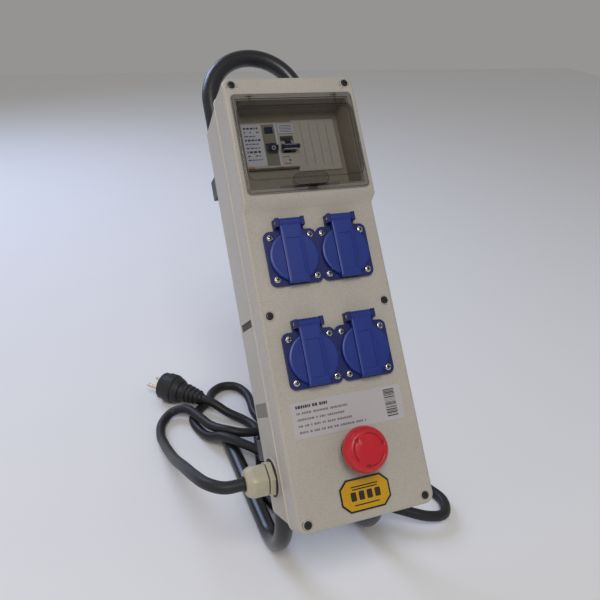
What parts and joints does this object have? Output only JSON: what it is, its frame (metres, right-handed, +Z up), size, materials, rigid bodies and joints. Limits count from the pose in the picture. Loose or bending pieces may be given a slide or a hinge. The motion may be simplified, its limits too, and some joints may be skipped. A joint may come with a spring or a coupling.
{
  "type": "portable power distribution box",
  "caption": "Grey wall-boxed outlet station leaning on a bent tube stand, with flap outlets, breaker window, stop button and corded plug.",
  "frame": {"origin": "on the floor, under the middle of the box and stand, the cord and gland left out", "axes": "+Z up; -Y is the front face that carries the outlets; +X to the right of someone facing it"},
  "size_m": [0.2964, 0.4242, 0.4589],
  "materials": {
    "frame_paint": "semi-gloss black paint",
    "black_rubber": "matt rubber",
    "black_plastic": "fine matt",
    "bright_steel": "zinc plated",
    "shell_grey": "fine-grained satin",
    "insert_grey": "satin",
    "pale_plastic": "satin",
    "smoked_window": "smoked, gloss",
    "smoked_latch": "smoked, gloss",
    "device_white": "satin",
    "lever_navy": "satin",
    "contact_brass": "plain",
    "holder_green": "satin",
    "wire_sheath": "satin",
    "socket_blue": "satin",
    "lid_blue": "satin",
    "stop_red": "satin",
    "gland_beige": "satin",
    "label_white": "satin film",
    "plate_yellow": "gloss"
  },
  "bodies": {
    "housing": {"tube_frame": "frame_paint", "foot_tubes": "frame_paint", "foot_end_caps": "black_rubber", "frame_saddles": "black_plastic", "frame_saddle_screws": "bright_steel", "base_shell": "shell_grey", "side_slot_insert": "insert_grey", "side_blank_insert": "insert_grey", "cover_gasket": "black_rubber", "cover_shell": "shell_grey", "cover_screw_collars": "pale_plastic", "cover_screws": "black_plastic", "door_hinge_pins": "bright_steel", "device_mask": "shell_grey", "din_rail": "bright_steel", "din_rail_posts": "pale_plastic", "rcd_body": "device_white", "mcb_body": "device_white", "mcb_label_holder": "device_white", "blanking_plate": "shell_grey", "terminal_bars": "contact_brass", "terminal_bar_holders": "holder_green", "supply_wires": "wire_sheath", "socket_body_1": "socket_blue", "socket_body_2": "socket_blue", "socket_body_3": "socket_blue", "socket_body_4": "socket_blue", "lid_hinge_pins": "bright_steel", "lid_springs": "bright_steel", "socket_gaskets": "black_rubber", "socket_screws": "bright_steel", "socket_sleeves": "contact_brass", "socket_earth_pins": "contact_brass", "stop_collar": "black_plastic", "stop_nut": "black_plastic", "stop_contact_block": "pale_plastic", "stop_spring": "bright_steel", "gland_body": "gland_beige", "gland_seal": "black_rubber", "gland_nut": "gland_beige", "gland_grommet": "black_rubber", "gland_locknut": "gland_beige", "rating_label": "label_white", "name_plate": "plate_yellow", "name_plate_border": "black_plastic", "cord": "black_rubber", "plug_strain_relief": "black_rubber", "plug_body": "black_rubber", "plug_pins": "contact_brass"},
    "door": {"window_door": "smoked_window", "door_latch": "smoked_latch"},
    "rcd_toggle": {"rcd_lever": "lever_navy"},
    "rcd_test": {"rcd_test_button": "lever_navy"},
    "mcb_toggle": {"mcb_lever": "lever_navy"},
    "stop_stem": {"stop_plunger": "black_plastic"},
    "stop_mushroom": {"stop_head": "stop_red"},
    "lid_1": {"socket_lid_1": "lid_blue"},
    "lid_2": {"socket_lid_2": "lid_blue"},
    "lid_3": {"socket_lid_3": "lid_blue"},
    "lid_4": {"socket_lid_4": "lid_blue"}
  },
  "joints": [
    {"name": "door_hinge", "type": "hinge", "parent": "housing", "child": "door", "pos_m": [0, 0.04259, 0.44306], "axis": [-1, 0, 0], "range_deg": [0, 110]},
    {"name": "rcd_lever_hinge", "type": "hinge", "parent": "housing", "child": "rcd_toggle", "pos_m": [-0.021, 0.04056, 0.38881], "axis": [-1, 0, 0], "range_deg": [0, 50]},
    {"name": "mcb_lever_hinge", "type": "hinge", "parent": "housing", "child": "mcb_toggle", "pos_m": [-0.00405, 0.04056, 0.38881], "axis": [-1, 0, 0], "range_deg": [0, 50]},
    {"name": "rcd_test_slide", "type": "slide", "parent": "housing", "child": "rcd_test", "axis": [0, 0.788, -0.6157], "range_m": [0, 0.0015], "stiffness_N_per_m": 400},
    {"name": "stop_push", "type": "slide", "parent": "housing", "child": "stop_stem", "axis": [0, 0.788, -0.6157], "range_m": [0, 0.005], "stiffness_N_per_m": 1500, "deforming": ["stop_spring"]},
    {"name": "stop_twist", "type": "hinge", "parent": "stop_stem", "child": "stop_mushroom", "pos_m": [0, -0.16652, 0.18385], "axis": [0, 0.788, -0.6157], "range_deg": [0, 40], "stiffness_Nm_per_rad": 0.05},
    {"name": "lid_1_hinge", "type": "hinge", "parent": "housing", "child": "lid_1", "pos_m": [-0.025, -0.02947, 0.33946], "axis": [-1, 0, 0], "range_deg": [0, 100], "stiffness_Nm_per_rad": 0.03, "springref_deg": -34.38},
    {"name": "lid_2_hinge", "type": "hinge", "parent": "housing", "child": "lid_2", "pos_m": [0.025, -0.02947, 0.33946], "axis": [-1, 0, 0], "range_deg": [0, 100], "stiffness_Nm_per_rad": 0.03, "springref_deg": -34.38},
    {"name": "lid_3_hinge", "type": "hinge", "parent": "housing", "child": "lid_3", "pos_m": [-0.025, -0.08592, 0.2672], "axis": [-1, 0, 0], "range_deg": [0, 100], "stiffness_Nm_per_rad": 0.03, "springref_deg": -34.38},
    {"name": "lid_4_hinge", "type": "hinge", "parent": "housing", "child": "lid_4", "pos_m": [0.025, -0.08592, 0.2672], "axis": [-1, 0, 0], "range_deg": [0, 100], "stiffness_Nm_per_rad": 0.03, "springref_deg": -34.38}
  ]
}
